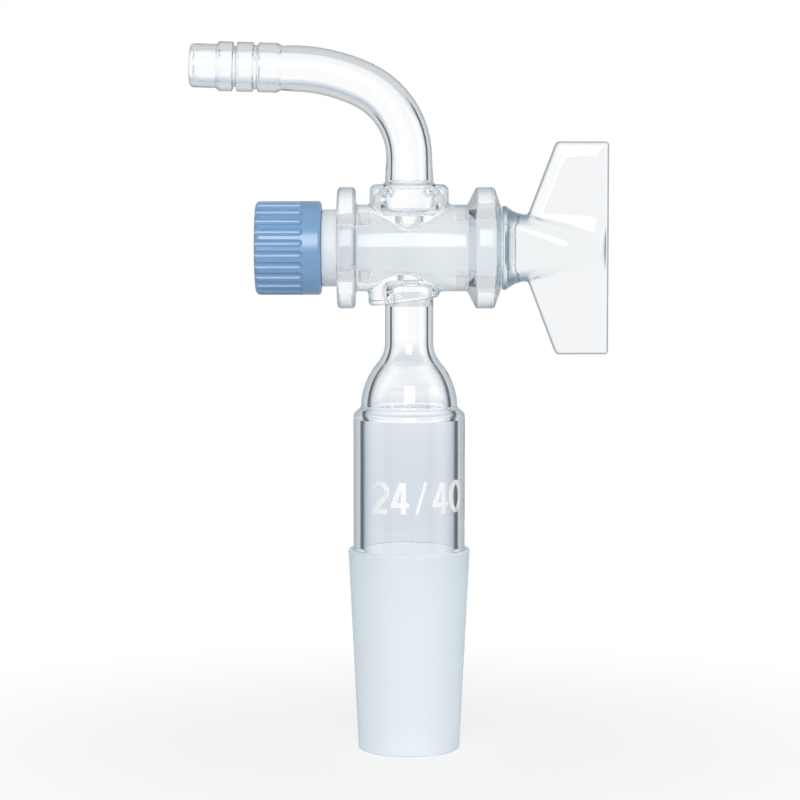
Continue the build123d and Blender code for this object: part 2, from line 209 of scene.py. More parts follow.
@dataclass(frozen=True)
class Borosilicate:
    """Borosilicate glass, flame worked or pressed, with ground joints.

    Clear walls that go dark where they bend light away, with painted shade that darkens them where a
    surface turns edge-on, and a pale frost where the joints are ground with fine grit; on the cone the
    frost is painted bluer and darker where it turns edge-on.
    """

    name: str
    ground: GroundZone
    tint: str = "#FFFFFF"
    # Painted shade: clear glass is tinted towards this dark colour where its surface turns edge-on, and by a
    # small share on its faces too.
    painted_edge_shade: str = "#869DAE"
    edge_shade_from: float = 0.25
    edge_shade_to: float = 0.85
    face_shade_share: float = 0.0
    frost: str = "#EFF4F7"
    # Painted shade: the frost on the cone goes to this bluer, darker colour where the surface turns edge-on.
    frost_edge_shade: str = "#D2DEE7"
    seat_frost: str = "#FEFFFF"
    ior: float = 1.473
    polish: float = 0.0
    ground_roughness: float = 0.5
    ground_scatter: float = 0.65
    seat_share: float = 0.8
    # Drawn coarser than the real grit, which is too fine to show.
    grit_mm: float = 0.22
    grit_depth_share: float = 0.3
    grit_strength: float = 0.12
    wave_mm: float = 7.0
    wave_depth_mm: float = 0.02
    wave_strength: float = 0.5
    ground_from: float = 0.01
    joint_from: float = 0.99
    cloud_tint: str = "#DCE9F0"
    cloud_density: float = 8.0
    cone_length: float = 40.0
    cone_mid_wall: float = 9.0
    cone_mid_lean: float = 0.0375
    seat_from: float = -7.6
    seat_to: float = 9.2
    seat_radius: float = 5.09
    seat_lean: float = 0.05
    taper_from: float = -13.45
    taper_to: float = 18.15

    def ground_mask(self, tree: bpy.types.NodeTree, place: bpy.types.NodeSocket) -> bpy.types.Node:
        """Build the mask that is one on the ground cone and the seat's share on a ground seat.

        The cone's outside lies below its top and outside the middle of its wall. The seat lies between
        two places along the barrel, and in the body also inside a cone about the barrel's axis.

        Args:
            tree: the material's node tree.
            place: socket that gives the place in metres.

        Returns:
            Node whose first output is the mask.
        """
        x, y, z = add(tree, "ShaderNodeSeparateXYZ", {0: place}).outputs
        plug = self.ground is GroundZone.PLUG
        start, end = (self.taper_from, self.taper_to) if plug else (self.seat_from, self.seat_to)
        after = add(tree, "ShaderNodeMath", {0: x, 1: start * MM}, operation="GREATER_THAN")
        before = add(tree, "ShaderNodeMath", {0: x, 1: end * MM}, operation="LESS_THAN")
        span = add(tree, "ShaderNodeMath", {0: after, 1: before}, operation="MULTIPLY")
        if plug:
            return add(tree, "ShaderNodeMath", {0: span, 1: self.seat_share}, operation="MULTIPLY")
        up = add(tree, "ShaderNodeMath", {0: z, 1: AXIS_HEIGHT * MM}, operation="SUBTRACT")
        around = add(tree, "ShaderNodeCombineXYZ", {"X": y, "Y": up})
        radius = add(tree, "ShaderNodeVectorMath", {0: around}, operation="LENGTH").outputs["Value"]
        seat = add(tree, "ShaderNodeMath", {0: x, 1: self.seat_lean, 2: self.seat_radius * MM},
                   operation="MULTIPLY_ADD")
        inside = add(tree, "ShaderNodeMath", {0: radius, 1: seat}, operation="LESS_THAN")
        seat_span = add(tree, "ShaderNodeMath", {0: inside, 1: span}, operation="MULTIPLY")
        bore = add(tree, "ShaderNodeMath", {0: seat_span, 1: self.seat_share}, operation="MULTIPLY")
        flat = add(tree, "ShaderNodeCombineXYZ", {"X": x, "Y": y})
        girth = add(tree, "ShaderNodeVectorMath", {0: flat}, operation="LENGTH").outputs["Value"]
        middle = add(tree, "ShaderNodeMath", {0: z, 1: self.cone_mid_lean, 2: self.cone_mid_wall * MM},
                     operation="MULTIPLY_ADD")
        skin = add(tree, "ShaderNodeMath", {0: girth, 1: middle}, operation="GREATER_THAN")
        low = add(tree, "ShaderNodeMath", {0: z, 1: self.cone_length * MM}, operation="LESS_THAN")
        cone = add(tree, "ShaderNodeMath", {0: skin, 1: low}, operation="MULTIPLY")
        return add(tree, "ShaderNodeMath", {0: cone, 1: bore}, operation="MAXIMUM")

    def material(self) -> bpy.types.Material:
        """Build the glass.

        Returns:
            The material.
        """
        material, tree, out = new_material(self.name)
        place = add(tree, "ShaderNodeTexCoord").outputs["Object"]
        mask = self.ground_mask(tree, place)
        rough = add(tree, "ShaderNodeMath", {0: mask, 1: self.ground_roughness, 2: self.polish},
                    operation="MULTIPLY_ADD")
        milky = add(tree, "ShaderNodeMath", {0: mask, 1: self.ground_scatter}, operation="MULTIPLY")
        grit = add(tree, "ShaderNodeTexNoise", {
            "Vector": place, "Scale": 1 / (self.grit_mm * MM), "Detail": 2.0})
        grit_height = add(tree, "ShaderNodeMath", {0: grit, 1: mask}, operation="MULTIPLY")
        scratch = add(tree, "ShaderNodeBump", {
            "Height": grit_height, "Strength": self.grit_strength,
            "Distance": self.grit_mm * MM * self.grit_depth_share})
        wave = add(tree, "ShaderNodeTexNoise", {
            "Vector": place, "Scale": 1 / (self.wave_mm * MM), "Detail": 1.0})
        flow = add(tree, "ShaderNodeBump", {
            "Height": wave, "Strength": self.wave_strength,
            "Distance": self.wave_depth_mm * MM, "Normal": scratch})
        # Painted shade: where a clear surface turns edge-on, its colour is mixed towards the dark edge tint,
        # which darkens the outlines of tubes and the handle.
        facing = add(tree, "ShaderNodeLayerWeight", {"Blend": 0.5}).outputs["Facing"]
        turned = add(tree, "ShaderNodeMapRange", {
            0: facing, 1: self.edge_shade_from, 2: self.edge_shade_to, 3: self.face_shade_share,
        }, interpolation_type="SMOOTHSTEP")
        polished = add(tree, "ShaderNodeMath", {0: mask, 1: self.ground_from}, operation="LESS_THAN")
        edge = add(tree, "ShaderNodeMath", {0: turned, 1: polished}, operation="MULTIPLY")
        body = add(tree, "ShaderNodeMix", {0: edge, 6: to_linear(self.tint), 7: to_linear(self.painted_edge_shade)},
                   data_type="RGBA")
        glass = add(tree, "ShaderNodeBsdfPrincipled", {
            "Base Color": body.outputs[2], "IOR": self.ior, "Transmission Weight": 1.0,
            "Roughness": rough, "Normal": flow})
        # Painted shade: the cone's frost is mixed towards a bluer, darker colour where it turns edge-on.
        outer = add(tree, "ShaderNodeMix", {
            0: facing, 6: to_linear(self.frost), 7: to_linear(self.frost_edge_shade),
        }, data_type="RGBA")
        joint = add(tree, "ShaderNodeMath", {0: mask, 1: self.joint_from}, operation="GREATER_THAN")
        grain = add(tree, "ShaderNodeMix", {0: joint, 6: to_linear(self.seat_frost), 7: outer.outputs[2]},
                    data_type="RGBA")
        back = add(tree, "ShaderNodeBsdfDiffuse", {"Color": grain.outputs[2], "Normal": scratch})
        on = add(tree, "ShaderNodeBsdfTranslucent", {"Color": grain.outputs[2], "Normal": scratch})
        frosted = add(tree, "ShaderNodeMixShader", {0: 0.5, 1: back, 2: on})
        surface = add(tree, "ShaderNodeMixShader", {0: milky, 1: glass, 2: frosted})
        cloud = add(tree, "ShaderNodeVolumeAbsorption", {"Color": to_linear(self.cloud_tint),
                                                         "Density": self.cloud_density})
        tree.links.new(surface.outputs[0], out.inputs["Surface"])
        tree.links.new(cloud.outputs[0], out.inputs["Volume"])
        return material


@dataclass(frozen=True)
class MouldedPolypropylene:
    """Blue polypropylene from a mould: a soft, slightly waxy sheen over an even colour."""

    name: str = "moulded_polypropylene"
    colour: str = "#739DC7"
    pale: str = "#7EA6CD"
    roughness: float = 0.26
    sheen: float = 0.8
    ior: float = 1.49
    cloud_mm: float = 5.0
    # Drawn coarser than the mould's own grain, which is too fine to show.
    grain_mm: float = 0.35
    grain_depth_share: float = 0.3
    grain_strength: float = 0.06

    def material(self) -> bpy.types.Material:
        """Build the plastic.

        Returns:
            The material.
        """
        material, tree, out = new_material(self.name)
        place = add(tree, "ShaderNodeTexCoord").outputs["Object"]
        cloud = add(tree, "ShaderNodeTexNoise", {
            "Vector": place, "Scale": 1 / (self.cloud_mm * MM), "Detail": 2.0})
        colour = add(tree, "ShaderNodeMix", {0: cloud.outputs[0], 6: to_linear(self.colour),
                                             7: to_linear(self.pale)}, data_type="RGBA")
        grain = add(tree, "ShaderNodeTexNoise", {
            "Vector": place, "Scale": 1 / (self.grain_mm * MM), "Detail": 2.0})
        skin = add(tree, "ShaderNodeBump", {
            "Height": grain, "Strength": self.grain_strength,
            "Distance": self.grain_mm * MM * self.grain_depth_share})
        plastic = add(tree, "ShaderNodeBsdfPrincipled", {
            "Base Color": colour.outputs[2], "Roughness": self.roughness, "IOR": self.ior,
            "Specular IOR Level": self.sheen, "Normal": skin})
        tree.links.new(plastic.outputs[0], out.inputs["Surface"])
        return material


@dataclass(frozen=True)
class TurnedFluoropolymer:
    """White fluoropolymer turned from rod: milky, soft-edged light and faint rings from the tool."""

    name: str = "turned_fluoropolymer"
    colour: str = "#DFE1E5"
    roughness: float = 0.42
    ior: float = 1.35
    ring_mm: float = 0.18
    ring_depth_share: float = 0.2
    ring_strength: float = 0.1
    ring_stretch: float = 0.02

    def material(self) -> bpy.types.Material:
        """Build the fluoropolymer.

        Returns:
            The material.
        """
        material, tree, out = new_material(self.name)
        place = add(tree, "ShaderNodeTexCoord").outputs["Object"]
        drawn_out = add(tree, "ShaderNodeVectorMath", {
            0: place, 1: (1.0, self.ring_stretch, self.ring_stretch),
        }, operation="MULTIPLY")
        rings = add(tree, "ShaderNodeTexNoise", {
            "Vector": drawn_out, "Scale": 1 / (self.ring_mm * MM), "Detail": 1.0})
        tool = add(tree, "ShaderNodeBump", {
            "Height": rings, "Strength": self.ring_strength,
            "Distance": self.ring_mm * MM * self.ring_depth_share})
        body = add(tree, "ShaderNodeBsdfPrincipled", {
            "Base Color": to_linear(self.colour), "Roughness": self.roughness,
            "IOR": self.ior, "Normal": tool})
        tree.links.new(body.outputs[0], out.inputs["Surface"])
        return material


@dataclass(frozen=True)
class MouldedRubber:
    """Black rubber from a mould: almost no shine, with a faint dusty bloom."""

    name: str = "moulded_rubber"
    colour: str = "#1C1C1E"
    bloom: str = "#2E2E31"
    roughness: float = 0.7
    ior: float = 1.52
    bloom_mm: float = 0.8

    def material(self) -> bpy.types.Material:
        """Build the rubber.

        Returns:
            The material.
        """
        material, tree, out = new_material(self.name)
        place = add(tree, "ShaderNodeTexCoord").outputs["Object"]
        dust = add(tree, "ShaderNodeTexNoise", {
            "Vector": place, "Scale": 1 / (self.bloom_mm * MM), "Detail": 3.0})
        colour = add(tree, "ShaderNodeMix", {0: dust.outputs[0], 6: to_linear(self.colour),
                                             7: to_linear(self.bloom)}, data_type="RGBA")
        body = add(tree, "ShaderNodeBsdfPrincipled", {
            "Base Color": colour.outputs[2], "Roughness": self.roughness, "IOR": self.ior})
        tree.links.new(body.outputs[0], out.inputs["Surface"])
        return material


@dataclass(frozen=True)
class FiredEnamel:
    """White enamel printed and fired on glass: flat white, a little thin in places."""

    name: str = "fired_enamel"
    colour: str = "#FFFFFF"
    thin: str = "#FAFCFC"
    roughness: float = 0.5
    ior: float = 1.5
    patch_mm: float = 0.5

    def material(self) -> bpy.types.Material:
        """Build the enamel.

        Returns:
            The material.
        """
        material, tree, out = new_material(self.name)
        place = add(tree, "ShaderNodeTexCoord").outputs["Object"]
        patch = add(tree, "ShaderNodeTexNoise", {
            "Vector": place, "Scale": 1 / (self.patch_mm * MM), "Detail": 2.0})
        colour = add(tree, "ShaderNodeMix", {0: patch.outputs[0], 6: to_linear(self.colour),
                                             7: to_linear(self.thin)}, data_type="RGBA")
        body = add(tree, "ShaderNodeBsdfPrincipled", {
            "Base Color": colour.outputs[2], "Roughness": self.roughness, "IOR": self.ior})
        tree.links.new(body.outputs[0], out.inputs["Surface"])
        return material


def dress(piece: bpy.types.Object, material: bpy.types.Material) -> None:
    """Give every material slot of a piece one material.

    Args:
        piece: the object.
        material: its finish.
    """
    if not piece.material_slots:
        piece.data.materials.append(material)
    for slot in piece.material_slots:
        slot.material = material


@dataclass
class PlugKey:
    """Solid glass plug: tail, ground taper with a cross bore, flange, neck and pressed wing handle."""

    tail_radius: float = 3.9
    tail_end: float = -28.1
    tail_chamfer: float = 0.5
    taper_start: float = -13.4
    taper_middle: float = 5.005
    taper_lean: float = 0.05
    flange_start: float = 18.2
    flange_radius: float = 8.25
    flange_length: float = 0.8
    flange_round: float = 0.3
    neck_end: float = 23.3
    neck_radius: float = 6.55
    neck_flat: float = 5.3
    neck_flat_start: float = 21.4
    neck_flat_round: float = 2.5
    swell_end: float = 38.3
    swell_end_rise: float = 4.25
    swell_end_round: float = 1.6
    swell_half_height: float = 6.5
    wing_root: float = 6.4
    wing_half_height: float = 20.8
    wing_slant: float = 5.5
    wing_end: float = 39.0
    wing_face: float = 3.4
    wing_edge: float = 2.9
    wing_bevel: float = 2.4
    edge_round: float = 0.9
    corner_round: float = 0.8
    crest_round: float = 0.12
    swell_blend: float = 1.6
    flat_blend: float = 0.5
    root_blend: float = 1.0
    bore_radius: float = 2.0
    bore_reach: float = 9.0
    end_zone: float = 1.2
    outline_blend: float = 1.0
    border_blend: float = 0.8
    # Slopes with which a form falls away outside its own outline.
    circle_fall: float = 2.0
    swell_fall: float = 8.0
    plate_fall: float = 3.0
    flat_rise: float = 20.0
    crease_deg: float = 38.0
    tail_steps: int = 8
    taper_steps: int = 56
    rim_steps: int = 6
    neck_steps: int = 22
    wing_steps: int = 74
    end_steps: int = 20
    bore_sides: int = 64
    across: int = 97
    strip: int = 5

    def stations(self) -> tuple[np.ndarray, np.ndarray]:
        """Profile of everything that is turned about the plug's axis.

        Straight runs and arcs in order: chamfered tail, step, taper, flange with a rounded rim,
        hollow neck, then a bar that runs on into the handle.

        Returns:
            Place along the axis and radius at each station.
        """
        tail_x = np.array([self.tail_end, self.tail_end + self.tail_chamfer])
        tail_r = np.array([self.tail_radius - self.tail_chamfer, self.tail_radius])
        shaft_x = np.linspace(tail_x[1], self.taper_start, self.tail_steps)[1:]
        taper_x = np.linspace(self.taper_start, self.flange_start, self.taper_steps)
        turn = np.linspace(0, np.pi / 2, self.rim_steps)
        rim_x = self.flange_start + self.flange_round * (1 - np.cos(turn))
        rim_r = self.flange_radius - self.flange_round * (1 - np.sin(turn))
        top = self.flange_start + self.flange_length
        length, drop = self.neck_end - top, self.flange_radius - self.neck_radius
        hollow = (length ** 2 + drop ** 2) / (2 * drop)
        neck_x = np.linspace(top, self.neck_end, self.neck_steps)
        neck_r = self.neck_radius + hollow - np.sqrt(hollow ** 2 - (self.neck_end - neck_x) ** 2)
        wing_x = np.linspace(self.neck_end, self.wing_end - self.end_zone, self.wing_steps)[1:]
        edge_turn = np.linspace(0, np.pi / 2, self.end_steps)[1:]
        edge_x = self.wing_end - self.end_zone * (1 - np.sin(edge_turn))
        x = np.concatenate([tail_x, shaft_x, taper_x, rim_x, neck_x, wing_x, edge_x])
        r = np.concatenate([tail_r, np.full(len(shaft_x), self.tail_radius),
                            self.taper_middle + self.taper_lean * taper_x, rim_r, neck_r,
                            np.full(len(wing_x) + len(edge_x), self.neck_radius)])
        return x, r

    def swell(self, x: np.ndarray, radius: np.ndarray, z: np.ndarray) -> np.ndarray:
        """Half thickness of the turned body, and of the swell that it turns into on the handle.

        Up to the neck it is a circle about the axis. From there it sinks evenly and its section goes
        over from a half circle to a bell. Its end is a quarter round, after which it falls away.

        Args:
            x: places along the axis.
            radius: radius of the turned profile there.
            z: heights from the axis.

        Returns:
            The half thickness, negative outside.
        """
        share = np.clip((x - self.neck_end) / (self.swell_end - self.neck_end), 0, 1)
        inside = 1 - (z / radius) ** 2
        outside = -self.circle_fall * (np.abs(z) / radius - 1)
        circle = np.where(inside > 0, np.sqrt(np.maximum(inside, 0)), outside)
        bell = np.exp(-(z / self.swell_half_height) ** 2)
        into = np.clip(x - (self.swell_end - self.swell_end_round), 0, self.swell_end_round)
        fall = self.swell_end_round - np.sqrt(self.swell_end_round ** 2 - into ** 2)
        past = self.swell_fall * np.maximum(x - self.swell_end, 0)
        rise = radius + (self.swell_end_rise - radius) * share - fall - past
        turn = share ** 0.5
        return rise * (circle * (1 - turn) + bell * turn)

    def flat(self, x: np.ndarray) -> np.ndarray:
        """Half thickness at the flats pressed on the neck, with an arc where they run out.

        Args:
            x: places along the axis.

        Returns:
            The half thickness of the flats.
        """
        into = np.maximum(self.neck_flat_start - x, 0)
        arc = np.sqrt(np.maximum(self.neck_flat_round ** 2 - into ** 2, 0))
        past = self.flat_rise * np.maximum(into - self.neck_flat_round, 0)
        return self.neck_flat + self.neck_flat_round - arc + past

    def wing_reach(self, x: np.ndarray) -> np.ndarray:
        """Half height of the wing's outline at each place: slanted root, flat top, round end corners.

        Args:
            x: places along the axis.

        Returns:
            The half height, negative before the slant starts.
        """
        rise = (self.wing_half_height - self.wing_root) / self.wing_slant
        into = np.clip(x - (self.wing_end - self.corner_round), 0, self.corner_round)
        top = self.wing_half_height - self.corner_round + np.sqrt(self.corner_round ** 2 - into ** 2)
        return soft_min(self.wing_root + (x - self.neck_end) * rise, top, self.outline_blend)

    def half_thickness(self, x: np.ndarray, radius: np.ndarray, z: np.ndarray) -> np.ndarray:
        """Half thickness of the plug at a place along its axis and a height.

        The plate rises from its edge in a quarter round and then along a straight bevel, by the
        distance to the nearest border. The larger of that and the turned body counts, with the
        crease between them filled, and the flats cut off what stands above them.

        Args:
            x: places along the axis.
            radius: radius of the turned profile there.
            z: heights from the axis.

        Returns:
            The half thickness.
        """
        climb = self.wing_half_height - self.wing_root
        high = np.abs(z)
        slant = ((x - self.neck_end) * climb - (high - self.wing_root) * self.wing_slant) / math.hypot(
            climb, self.wing_slant)
        ends = soft_min(self.wing_half_height - high, self.wing_end - x, self.border_blend)
        border = soft_min(slant, ends, self.border_blend)
        into = np.clip(border, 0, self.edge_round)
        lip = np.sqrt(self.edge_round ** 2 - (self.edge_round - into) ** 2) - self.edge_round
        slope = (self.wing_face - self.wing_edge) / self.wing_bevel
        bevel = soft_min(self.wing_edge + slope * np.maximum(border, 0), self.wing_face, self.crest_round)
        plate = bevel + lip + self.plate_fall * np.minimum(border, 0)
        solid = soft_max(plate, self.swell(x, radius, z), self.swell_blend)
        return np.maximum(soft_min(solid, self.flat(x), self.flat_blend), 0)

    def rings(self) -> np.ndarray:
        """Rings of points round the plug, one at each station.

        Front face from bottom to top at minus the half thickness, over the top edge, down the back
        face and under the bottom edge. Points crowd towards the edges as a cosine does.

        Returns:
            Points in metres, as (ring, point, xyz).
        """
        x, radius = self.stations()
        reach = soft_max(radius, self.wing_reach(x), self.root_blend)
        spread = -np.cos(np.linspace(0, np.pi, self.across))
        z = reach[:, None] * spread[None, :]
        half = self.half_thickness(x[:, None], radius[:, None], z)
        over = np.linspace(-1, 1, self.strip + 2)[1:-1]
        top, bottom = half[:, -1:] * over, half[:, :1] * -over
        y = np.concatenate([-half, top, half[:, ::-1], bottom], axis=1)
        ones = np.ones((1, self.strip))
        up = np.concatenate([z, z[:, -1:] * ones, z[:, ::-1], z[:, :1] * ones], axis=1)
        along = np.repeat(x[:, None], y.shape[1], axis=1)
        return np.stack([along, y, AXIS_HEIGHT + up], axis=-1) * MM

    def cross_bore(self) -> bpy.types.Object:
        """Rod that cuts the cross bore: a circle carried straight up through the taper.

        Returns:
            The cutter.
        """
        turn = np.linspace(0, 2 * np.pi, self.bore_sides, endpoint=False)
        circle = np.stack([np.cos(turn), np.sin(turn)], axis=-1) * self.bore_radius
        heights = AXIS_HEIGHT + np.array([-self.bore_reach, self.bore_reach])
        flat = np.repeat(circle[None], 2, axis=0)
        rod = np.concatenate([flat, np.repeat(heights[:, None, None], self.bore_sides, axis=1)], axis=-1)
        return loft("cross_bore_cutter", rod * MM, ladder_ends=False)

    def build(self, material: bpy.types.Material) -> bpy.types.Object:
        """Make the plug, cut its bore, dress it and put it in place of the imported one.

        Args:
            material: the plug's glass.

        Returns:
            The plug.
        """
        plug = loft("plug_key", self.rings(), ladder_ends=True)
        close_and_smooth(plug, self.crease_deg)
        cutter = self.cross_bore()
        close_and_smooth(cutter, self.crease_deg)
        cut = plug.modifiers.new("cross_bore", "BOOLEAN")
        cut.operation, cut.solver, cut.object = "DIFFERENCE", "EXACT", cutter
        done = bpy.data.meshes.new_from_object(plug.evaluated_get(bpy.context.evaluated_depsgraph_get()))
        plug.modifiers.clear()
        plug.data = done
        bpy.data.objects.remove(cutter)
        close_and_smooth(plug, self.crease_deg)
        dress(plug, material)
        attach(plug, "plug")
        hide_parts("plug")
        return plug


@dataclass
class SizeMark:
    """Plain numerals for the joint's size, in enamel on the front of the shank."""

    shank_radius: float = 11.0
    middle_height: float = 51.1
    middle_deg: float = 12.2
    digit_height: float = 6.4
    digit_width: float = 4.0
    pitch: float = 4.13
    stroke: float = 1.0
    bar_stroke: float = 0.6
    thickness: float = 0.05
    sunk: float = 0.01
    lift: float = 0.001
    step: float = 0.15
    crease_deg: float = 40.0

    def strokes(self) -> list[tuple[np.ndarray, float]]:
        """Strokes of the mark as paths in digit widths and heights, each digit in its own cell.

        Returns:
            Paths of points, as across and up in millimetres from the middle of the mark, each with the
            width of its stroke.
        """
        turn = np.linspace(0, 2 * np.pi, 49)
        two_turn = np.linspace(math.radians(165), math.radians(-38), 22)
        two_head = np.stack([0.5 + 0.5 * np.cos(two_turn), 0.72 + 0.28 * np.sin(two_turn)], axis=-1)
        two = [np.concatenate([two_head, [[0.0, 0.0]]]), np.array([[-0.1, 0.0], [1.0, 0.0]])]
        four = [np.array([[0.62, 1.04], [0.0, 0.2]]), np.array([[-0.1, 0.24], [1.1, 0.24]]),
                np.array([[0.72, 1.05], [0.72, -0.08]])]
        oval = [np.stack([0.5 + 0.5 * np.sin(turn), 0.5 + 0.5 * np.cos(turn)], axis=-1)]
        bar = [np.array([[0.2, -0.08], [0.8, 1.08]])]
        paths = []
        for place, digit in enumerate((two, four, bar, four, oval)):
            width = self.bar_stroke if digit is bar else self.stroke
            for path in digit:
                across = (place - 2) * self.pitch + (path[:, 0] - 0.5) * (self.digit_width - self.stroke)
                up = (path[:, 1] - 0.5) * (self.digit_height - self.stroke)
                paths.append((np.stack([across, up], axis=-1), width))
        return paths

    def ribbon(self, path: np.ndarray, width: float, lift: float) -> np.ndarray:
        """Carry a flat, low profile along a path on the shank.

        The path is filled to even steps, moved half a stroke to each side along the normal at each
        point, and then bent round the shank: across becomes an angle, up stays a height.

        Args:
            path: points of the stroke, across and up.
            width: width of the stroke.
            lift: extra height of this stroke, so that no two strokes share a face.

        Returns:
            Points in metres, as (step, corner, xyz).
        """
        steps = np.linalg.norm(np.diff(path, axis=0), axis=1)
        reach = np.concatenate([[0], np.cumsum(steps)])
        along = np.unique(np.concatenate([np.linspace(0, reach[-1], int(reach[-1] / self.step) + 2), reach]))
        line = np.stack([np.interp(along, reach, path[:, k]) for k in (0, 1)], axis=-1)
        tangent = np.gradient(line, axis=0)
        tangent /= np.linalg.norm(tangent, axis=1, keepdims=True)
        normal = np.stack([-tangent[:, 1], tangent[:, 0]], axis=-1) * width / 2
        sides = np.stack([line - normal, line + normal, line + normal, line - normal], axis=1)
        outer = self.shank_radius + self.thickness + lift
        inner = self.shank_radius - self.sunk
        radius = np.array([inner, inner, outer, outer])[None, :]
        angle = sides[..., 0] / self.shank_radius + math.radians(self.middle_deg)
        return np.stack([radius * np.sin(angle), -radius * np.cos(angle),
                         self.middle_height + sides[..., 1]], axis=-1) * MM

    def build(self, material: bpy.types.Material) -> bpy.types.Object:
        """Make the strokes of the numerals, join them in one piece and dress it.

        Args:
            material: the enamel.

        Returns:
            The mark.
        """
        work = bmesh.new()
        for place, (path, width) in enumerate(self.strokes()):
            stroke = loft("stroke", self.ribbon(path, width, self.lift * place), ladder_ends=False)
            work.from_mesh(stroke.data)
            bpy.data.objects.remove(stroke)
        mark = bpy.data.objects.new("size_mark", bpy.data.meshes.new("size_mark"))
        work.to_mesh(mark.data)
        work.free()
        bpy.context.scene.collection.objects.link(mark)
        close_and_smooth(mark, self.crease_deg)
        dress(mark, material)
        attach(mark, "glass")
        return mark


@dataclass(frozen=True)
class SoftBox:
    """Soft box that faces the object: one even white face, which gives broad, calm highlights.

    Angles are degrees, round the object from the camera's side (positive to the right) and above the
    level. Sizes are metres. A glow of one is white.
    """

    name: str
    azimuth: float
    elevation: float
    width: float
    height: float
    glow: float
    distance: float = 1.0
    aim_height: float = 0.07

    def hang(self) -> None:
        """Hang the box at its distance and turn it to the object."""
        lamp = bpy.data.lights.new(self.name, "AREA")
        lamp.shape, lamp.size, lamp.size_y = "RECTANGLE", self.width, self.height
        lamp.energy = self.glow * math.pi * self.width * self.height
        a, e = math.radians(self.azimuth), math.radians(self.elevation)
        back = np.array([math.sin(a) * math.cos(e), -math.cos(a) * math.cos(e), math.sin(e)])
        box = bpy.data.objects.new(self.name, lamp)
        bpy.context.scene.collection.objects.link(box)
        box.location = back * self.distance + np.array([0, 0, self.aim_height])
        box.rotation_euler = (math.radians(90 - self.elevation), 0, a)
        box.visible_camera = False
        box.visible_transmission = False


